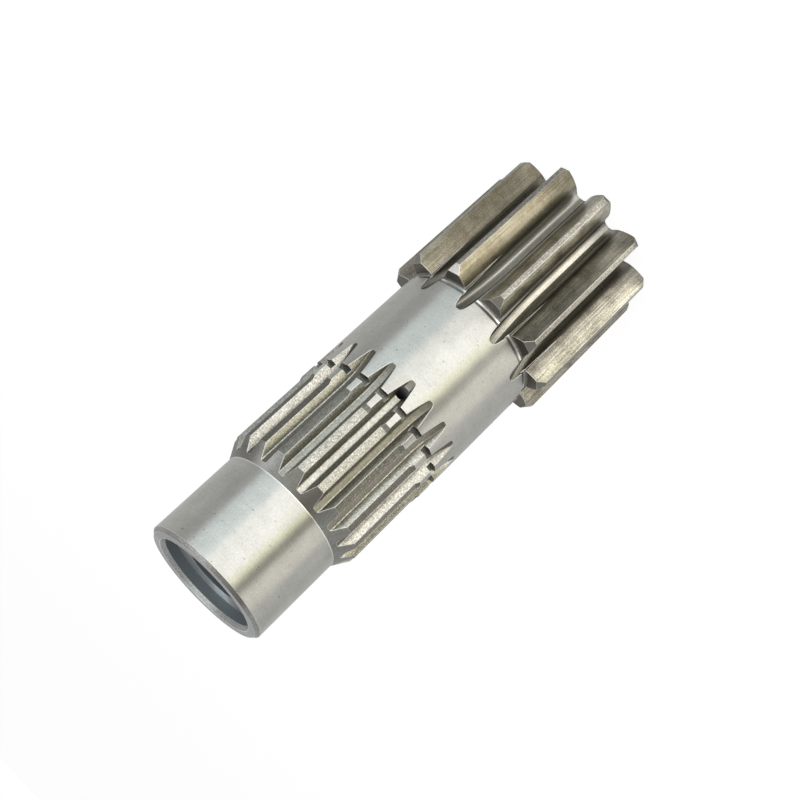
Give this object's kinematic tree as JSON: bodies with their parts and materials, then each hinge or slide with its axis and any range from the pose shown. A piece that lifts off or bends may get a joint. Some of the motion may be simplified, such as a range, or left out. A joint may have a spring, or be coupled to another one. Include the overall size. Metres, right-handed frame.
{
  "type": "swing motor shaft",
  "caption": "One-piece steel motor shaft: bored bearing end, splined neck with a ring groove and an oil hole, ground bearing journal and a spur pinion.",
  "frame": {"origin": "centre of the pinion's end face, on which the shaft stands", "axes": "+Z runs along the shaft's axis from the pinion to the bored end; -Y is the front, faced by the oil hole, a spline groove and a pinion tooth"},
  "size_m": [0.0546, 0.0541, 0.15],
  "materials": {
    "steel": "ground journals, hobbed teeth, lightly oiled and unpainted"
  },
  "bodies": {
    "root": {"pinion_shaft": "steel"}
  },
  "joints": []
}
